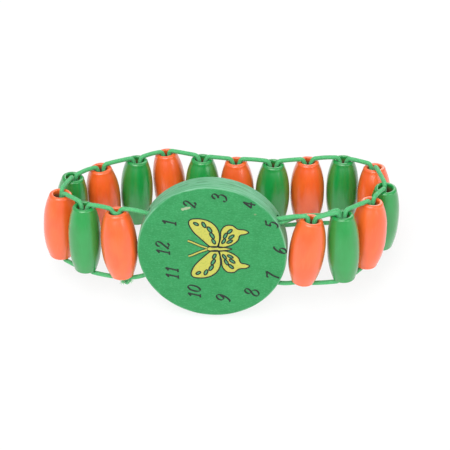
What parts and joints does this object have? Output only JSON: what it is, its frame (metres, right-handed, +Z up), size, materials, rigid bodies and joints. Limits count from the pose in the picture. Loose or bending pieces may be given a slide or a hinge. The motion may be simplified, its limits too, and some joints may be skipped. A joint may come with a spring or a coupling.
{
  "type": "toy watch",
  "caption": "Toy wristwatch: a round painted wooden dial on an elastic bracelet of wooden spindle beads in two colours.",
  "frame": {"origin": "middle of the outline at the level of the surface that the watch stands on", "axes": "+Z up from the table, the dial faces -Y and leans back, +X to the dial's right as it is seen"},
  "size_m": [0.0801, 0.0382, 0.0329],
  "materials": {
    "dial_wood": "painted wood, satin, with printed numerals",
    "bead_orange": "painted wood, satin orange",
    "bead_green": "painted wood, satin green",
    "elastic": "covered round elastic cord, light green"
  },
  "bodies": {
    "dial": {"dial": "dial_wood", "elastic_in_dial": "elastic", "strands_right_1": "elastic", "strands_left_1": "elastic"},
    "thread_right_1": {"crossing_right_1": "elastic"},
    "bead_right_1": {"bead_right_1": "bead_orange"},
    "link_right_2": {"strands_right_2": "elastic"},
    "thread_right_2": {"crossing_right_2": "elastic"},
    "bead_right_2": {"bead_right_2": "bead_green"},
    "link_right_3": {"strands_right_3": "elastic"},
    "thread_right_3": {"crossing_right_3": "elastic"},
    "bead_right_3": {"bead_right_3": "bead_orange"},
    "link_right_4": {"strands_right_4": "elastic"},
    "thread_right_4": {"crossing_right_4": "elastic"},
    "bead_right_4": {"bead_right_4": "bead_green"},
    "link_right_5": {"strands_right_5": "elastic"},
    "thread_right_5": {"crossing_right_5": "elastic"},
    "bead_right_5": {"bead_right_5": "bead_orange"},
    "link_right_6": {"strands_right_6": "elastic"},
    "thread_right_6": {"crossing_right_6": "elastic"},
    "bead_right_6": {"bead_right_6": "bead_green"},
    "link_right_7": {"strands_right_7": "elastic", "rest_strand_right": "elastic"},
    "thread_right_7": {"crossing_right_7": "elastic"},
    "bead_right_7": {"bead_right_7": "bead_orange"},
    "link_right_8": {"strands_right_8": "elastic"},
    "thread_right_8": {"crossing_right_8": "elastic"},
    "bead_right_8": {"bead_right_8": "bead_green"},
    "link_right_9": {"strands_right_9": "elastic"},
    "thread_right_9": {"crossing_right_9": "elastic"},
    "bead_right_9": {"bead_right_9": "bead_orange"},
    "thread_left_1": {"crossing_left_1": "elastic", "knot": "elastic"},
    "bead_left_1": {"bead_left_1": "bead_orange"},
    "link_left_2": {"strands_left_2": "elastic"},
    "thread_left_2": {"crossing_left_2": "elastic"},
    "bead_left_2": {"bead_left_2": "bead_green"},
    "link_left_3": {"strands_left_3": "elastic"},
    "thread_left_3": {"crossing_left_3": "elastic"},
    "bead_left_3": {"bead_left_3": "bead_orange"},
    "link_left_4": {"strands_left_4": "elastic"},
    "thread_left_4": {"crossing_left_4": "elastic"},
    "bead_left_4": {"bead_left_4": "bead_green"},
    "link_left_5": {"strands_left_5": "elastic"},
    "thread_left_5": {"crossing_left_5": "elastic"},
    "bead_left_5": {"bead_left_5": "bead_orange"},
    "link_left_6": {"strands_left_6": "elastic"},
    "thread_left_6": {"crossing_left_6": "elastic"},
    "bead_left_6": {"bead_left_6": "bead_green"},
    "link_left_7": {"strands_left_7": "elastic"},
    "thread_left_7": {"crossing_left_7": "elastic"},
    "bead_left_7": {"bead_left_7": "bead_orange"},
    "link_left_8": {"strands_left_8": "elastic", "rest_strand_left": "elastic"},
    "thread_left_8": {"crossing_left_8": "elastic"},
    "bead_left_8": {"bead_left_8": "bead_green"},
    "link_closing": {"closing_strands": "elastic"},
    "end_closing": {"closing_ends": "elastic"}
  },
  "joints": [
    {"name": "stretch_right_1", "type": "slide", "parent": "dial", "child": "thread_right_1", "axis": [1, 0, 0], "range_m": [-0.00001, 0.00303]},
    {"name": "turn_right_1", "type": "hinge", "parent": "thread_right_1", "child": "bead_right_1", "pos_m": [0.01973, -0.01235, 0.01648], "axis": [0.1045, 0.2311, 0.9673], "continuous": true},
    {"name": "band_flex", "type": "hinge", "parent": "thread_right_1", "child": "link_right_2", "pos_m": [0.01973, -0.01235, 0.01648], "axis": [0, 0.2663, 0.9639], "range_deg": [-4.5, 22]},
    {"name": "band_stretch", "type": "slide", "parent": "link_right_2", "child": "thread_right_2", "axis": [0.9613, 0.2657, -0.0734], "range_m": [0, 0.0012], "stiffness_N_per_m": 400},
    {"name": "turn_right_2", "type": "hinge", "parent": "thread_right_2", "child": "bead_right_2", "pos_m": [0.02766, -0.01016, 0.01587], "axis": [-0.0523, 0.266, 0.9626], "continuous": true},
    {"name": "flex_right_3", "type": "hinge", "parent": "thread_right_2", "child": "link_right_3", "pos_m": [0.02766, -0.01016, 0.01587], "axis": [0, 0.2663, 0.9639], "range_deg": [-11.16, 2.3]},
    {"name": "stretch_right_3", "type": "slide", "parent": "link_right_3", "child": "thread_right_3", "axis": [0.6691, 0.7163, -0.1979], "range_m": [-0.00001, 0.00121]},
    {"name": "turn_right_3", "type": "hinge", "parent": "thread_right_3", "child": "bead_right_3", "pos_m": [0.03318, -0.00425, 0.01424], "axis": [0.0523, 0.2828, 0.9578], "continuous": true},
    {"name": "flex_right_4", "type": "hinge", "parent": "thread_right_3", "child": "link_right_4", "pos_m": [0.03318, -0.00425, 0.01424], "axis": [0, 0.2663, 0.9639], "range_deg": [-3.88, 0.81]},
    {"name": "stretch_right_4", "type": "slide", "parent": "link_right_4", "child": "thread_right_4", "axis": [0.4067, 0.8805, -0.2433], "range_m": [-0.00001, 0.00121]},
    {"name": "turn_right_4", "type": "hinge", "parent": "thread_right_4", "child": "bead_right_4", "pos_m": [0.03654, 0.00301, 0.01223], "axis": [0.0173, 0.1468, 0.989], "continuous": true},
    {"name": "flex_right_5", "type": "hinge", "parent": "thread_right_4", "child": "link_right_5", "pos_m": [0.03654, 0.00301, 0.01223], "axis": [0, 0.2663, 0.9639], "range_deg": [-22.71, 4.66]},
    {"name": "stretch_right_5", "type": "slide", "parent": "link_right_5", "child": "thread_right_5", "axis": [-0.2588, 0.931, -0.2573], "range_m": [-0.00001, 0.00121]},
    {"name": "turn_right_5", "type": "hinge", "parent": "thread_right_5", "child": "bead_right_5", "pos_m": [0.0344, 0.0107, 0.01011], "axis": [-0.0348, 0.3328, 0.9424], "continuous": true},
    {"name": "flex_right_6", "type": "hinge", "parent": "thread_right_5", "child": "link_right_6", "pos_m": [0.0344, 0.0107, 0.01011], "axis": [0, 0.2663, 0.9639], "range_deg": [-5.03, 1.04]},
    {"name": "stretch_right_6", "type": "slide", "parent": "link_right_6", "child": "thread_right_6", "axis": [-0.8988, 0.4225, -0.1168], "range_m": [-0.00001, 0.00121]},
    {"name": "turn_right_6", "type": "hinge", "parent": "thread_right_6", "child": "bead_right_6", "pos_m": [0.02699, 0.01418, 0.00915], "axis": [0, 0.2663, 0.9639], "continuous": true},
    {"name": "flex_right_7", "type": "hinge", "parent": "thread_right_6", "child": "link_right_7", "pos_m": [0.02699, 0.01418, 0.00915], "axis": [0, 0.2663, 0.9639], "range_deg": [-1.23, 5.91]},
    {"name": "stretch_right_7", "type": "slide", "parent": "link_right_7", "child": "thread_right_7", "axis": [-0.9903, -0.1341, 0.0371], "range_m": [-0.00001, 0.00121]},
    {"name": "turn_right_7", "type": "hinge", "parent": "thread_right_7", "child": "bead_right_7", "pos_m": [0.01882, 0.01307, 0.00945], "axis": [0, 0.2495, 0.9684], "continuous": true},
    {"name": "flex_right_8", "type": "hinge", "parent": "thread_right_7", "child": "link_right_8", "pos_m": [0.01882, 0.01307, 0.00945], "axis": [0, 0.2663, 0.9639], "range_deg": [-1.57, 7.61]},
    {"name": "stretch_right_8", "type": "slide", "parent": "link_right_8", "child": "thread_right_8", "axis": [-0.9744, -0.2168, 0.0599], "range_m": [-0.00001, 0.00121]},
    {"name": "turn_right_8", "type": "hinge", "parent": "thread_right_8", "child": "bead_right_8", "pos_m": [0.01078, 0.01129, 0.00995], "axis": [0.0175, 0.2494, 0.9682], "continuous": true},
    {"name": "flex_right_9", "type": "hinge", "parent": "thread_right_8", "child": "link_right_9", "pos_m": [0.01078, 0.01129, 0.00995], "axis": [0, 0.2663, 0.9639], "range_deg": [-2.5, 12.16]},
    {"name": "stretch_right_9", "type": "slide", "parent": "link_right_9", "child": "thread_right_9", "axis": [-0.9986, 0.0504, -0.0139], "range_m": [-0.00001, 0.00121]},
    {"name": "turn_right_9", "type": "hinge", "parent": "thread_right_9", "child": "bead_right_9", "pos_m": [0.00254, 0.0117, 0.00983], "axis": [-0.0349, 0.2662, 0.9633], "continuous": true},
    {"name": "stretch_left_1", "type": "slide", "parent": "dial", "child": "thread_left_1", "axis": [-1, 0, 0], "range_m": [-0.00001, 0.00303]},
    {"name": "turn_left_1", "type": "hinge", "parent": "thread_left_1", "child": "bead_left_1", "pos_m": [-0.02187, -0.01235, 0.01648], "axis": [-0.0523, 0.2828, 0.9578], "continuous": true},
    {"name": "flex_left_2", "type": "hinge", "parent": "thread_left_1", "child": "link_left_2", "pos_m": [-0.02187, -0.01235, 0.01648], "axis": [0, 0.2663, 0.9639], "range_deg": [-22.09, 4.53]},
    {"name": "stretch_left_2", "type": "slide", "parent": "link_left_2", "child": "thread_left_2", "axis": [-0.9703, 0.2332, -0.0644], "range_m": [-0.00001, 0.00121]},
    {"name": "turn_left_2", "type": "hinge", "parent": "thread_left_2", "child": "bead_left_2", "pos_m": [-0.02987, -0.01043, 0.01595], "axis": [0.0175, 0.2663, 0.9637], "continuous": true},
    {"name": "flex_left_3", "type": "hinge", "parent": "thread_left_2", "child": "link_left_3", "pos_m": [-0.02987, -0.01043, 0.01595], "axis": [0, 0.2663, 0.9639], "range_deg": [-0.71, 3.42]},
    {"name": "stretch_left_3", "type": "slide", "parent": "link_left_3", "child": "thread_left_3", "axis": [-0.766, 0.6196, -0.1712], "range_m": [-0.00001, 0.00121]},
    {"name": "turn_left_3", "type": "hinge", "parent": "thread_left_3", "child": "bead_left_3", "pos_m": [-0.03619, -0.00532, 0.01453], "axis": [0.0523, 0.2491, 0.9671], "continuous": true},
    {"name": "flex_left_4", "type": "hinge", "parent": "thread_left_3", "child": "link_left_4", "pos_m": [-0.03619, -0.00532, 0.01453], "axis": [0, 0.2663, 0.9639], "range_deg": [-5.44, 26.51]},
    {"name": "stretch_left_4", "type": "slide", "parent": "link_left_4", "child": "thread_left_4", "axis": [0.1392, 0.9545, -0.2638], "range_m": [-0.00001, 0.00121]},
    {"name": "turn_left_4", "type": "hinge", "parent": "thread_left_4", "child": "bead_left_4", "pos_m": [-0.03504, 0.00256, 0.01236], "axis": [0.1044, 0.2141, 0.9712], "continuous": true},
    {"name": "flex_left_5", "type": "hinge", "parent": "thread_left_4", "child": "link_left_5", "pos_m": [-0.03504, 0.00256, 0.01236], "axis": [0, 0.2663, 0.9639], "range_deg": [-2.51, 12.21]},
    {"name": "stretch_left_5", "type": "slide", "parent": "link_left_5", "child": "thread_left_5", "axis": [0.8192, 0.5529, -0.1528], "range_m": [-0.00001, 0.00121]},
    {"name": "turn_left_5", "type": "hinge", "parent": "thread_left_5", "child": "bead_left_5", "pos_m": [-0.02828, 0.00712, 0.0111], "axis": [-0.0348, 0.1983, 0.9795], "continuous": true},
    {"name": "flex_left_6", "type": "hinge", "parent": "thread_left_5", "child": "link_left_6", "pos_m": [-0.02828, 0.00712, 0.0111], "axis": [0, 0.2663, 0.9639], "range_deg": [-13.05, 2.69]},
    {"name": "stretch_left_6", "type": "slide", "parent": "link_left_6", "child": "thread_left_6", "axis": [0.8829, 0.4525, -0.125], "range_m": [-0.00001, 0.00121]},
    {"name": "turn_left_6", "type": "hinge", "parent": "thread_left_6", "child": "bead_left_6", "pos_m": [-0.021, 0.01085, 0.01007], "axis": [0.0349, 0.2662, 0.9633], "continuous": true},
    {"name": "flex_left_7", "type": "hinge", "parent": "thread_left_6", "child": "link_left_7", "pos_m": [-0.021, 0.01085, 0.01007], "axis": [0, 0.2663, 0.9639], "range_deg": [-12.62, 2.6]},
    {"name": "stretch_left_7", "type": "slide", "parent": "link_left_7", "child": "thread_left_7", "axis": [0.891, 0.4376, -0.1209], "range_m": [-0.00001, 0.00121]},
    {"name": "turn_left_7", "type": "hinge", "parent": "thread_left_7", "child": "bead_left_7", "pos_m": [-0.01365, 0.01446, 0.00907], "axis": [-0.0871, 0.2821, 0.9554], "continuous": true},
    {"name": "flex_left_8", "type": "hinge", "parent": "thread_left_7", "child": "link_left_8", "pos_m": [-0.01365, 0.01446, 0.00907], "axis": [0, 0.2663, 0.9639], "range_deg": [-2.22, 10.79]},
    {"name": "stretch_left_8", "type": "slide", "parent": "link_left_8", "child": "thread_left_8", "axis": [0.967, -0.2455, 0.0678], "range_m": [-0.00001, 0.00121]},
    {"name": "turn_left_8", "type": "hinge", "parent": "thread_left_8", "child": "bead_left_8", "pos_m": [-0.00567, 0.01244, 0.00963], "axis": [0, 0.2663, 0.9639], "continuous": true},
    {"name": "flex_closing", "type": "hinge", "parent": "thread_right_9", "child": "link_closing", "pos_m": [0.00254, 0.0117, 0.00983], "axis": [0, 0.2663, 0.9639], "range_deg": [-1.36, 6.55]},
    {"name": "stretch_closing", "type": "slide", "parent": "link_closing", "child": "end_closing", "axis": [-0.9957, 0.0891, -0.0246], "range_m": [-0.00001, 0.00121]}
  ],
  "couplings": [
    {"joint": "stretch_right_1", "follows": "band_stretch", "ratio": 2.5212},
    {"joint": "flex_right_3", "follows": "band_flex", "ratio": -0.50647},
    {"joint": "stretch_right_3", "follows": "band_stretch", "ratio": 1},
    {"joint": "flex_right_4", "follows": "band_flex", "ratio": -0.17532},
    {"joint": "stretch_right_4", "follows": "band_stretch", "ratio": 1},
    {"joint": "flex_right_5", "follows": "band_flex", "ratio": -1.0315},
    {"joint": "stretch_right_5", "follows": "band_stretch", "ratio": 1},
    {"joint": "flex_right_6", "follows": "band_flex", "ratio": -0.22771},
    {"joint": "stretch_right_6", "follows": "band_stretch", "ratio": 1},
    {"joint": "flex_right_7", "follows": "band_flex", "ratio": 0.26775},
    {"joint": "stretch_right_7", "follows": "band_stretch", "ratio": 1},
    {"joint": "flex_right_8", "follows": "band_flex", "ratio": 0.34476},
    {"joint": "stretch_right_8", "follows": "band_stretch", "ratio": 1},
    {"joint": "flex_right_9", "follows": "band_flex", "ratio": 0.5519},
    {"joint": "stretch_right_9", "follows": "band_stretch", "ratio": 1},
    {"joint": "stretch_left_1", "follows": "band_stretch", "ratio": 2.5212},
    {"joint": "flex_left_2", "follows": "band_flex", "ratio": -1.003},
    {"joint": "stretch_left_2", "follows": "band_stretch", "ratio": 1},
    {"joint": "flex_left_3", "follows": "band_flex", "ratio": 0.15442},
    {"joint": "stretch_left_3", "follows": "band_stretch", "ratio": 1},
    {"joint": "flex_left_4", "follows": "band_flex", "ratio": 1.204},
    {"joint": "stretch_left_4", "follows": "band_stretch", "ratio": 1},
    {"joint": "flex_left_5", "follows": "band_flex", "ratio": 0.55416},
    {"joint": "stretch_left_5", "follows": "band_stretch", "ratio": 1},
    {"joint": "flex_left_6", "follows": "band_flex", "ratio": -0.59237},
    {"joint": "stretch_left_6", "follows": "band_stretch", "ratio": 1},
    {"joint": "flex_left_7", "follows": "band_flex", "ratio": -0.57254},
    {"joint": "stretch_left_7", "follows": "band_stretch", "ratio": 1},
    {"joint": "flex_left_8", "follows": "band_flex", "ratio": 0.48951},
    {"joint": "stretch_left_8", "follows": "band_stretch", "ratio": 1},
    {"joint": "flex_closing", "follows": "band_flex", "ratio": 0.29698},
    {"joint": "stretch_closing", "follows": "band_stretch", "ratio": 1}
  ]
}
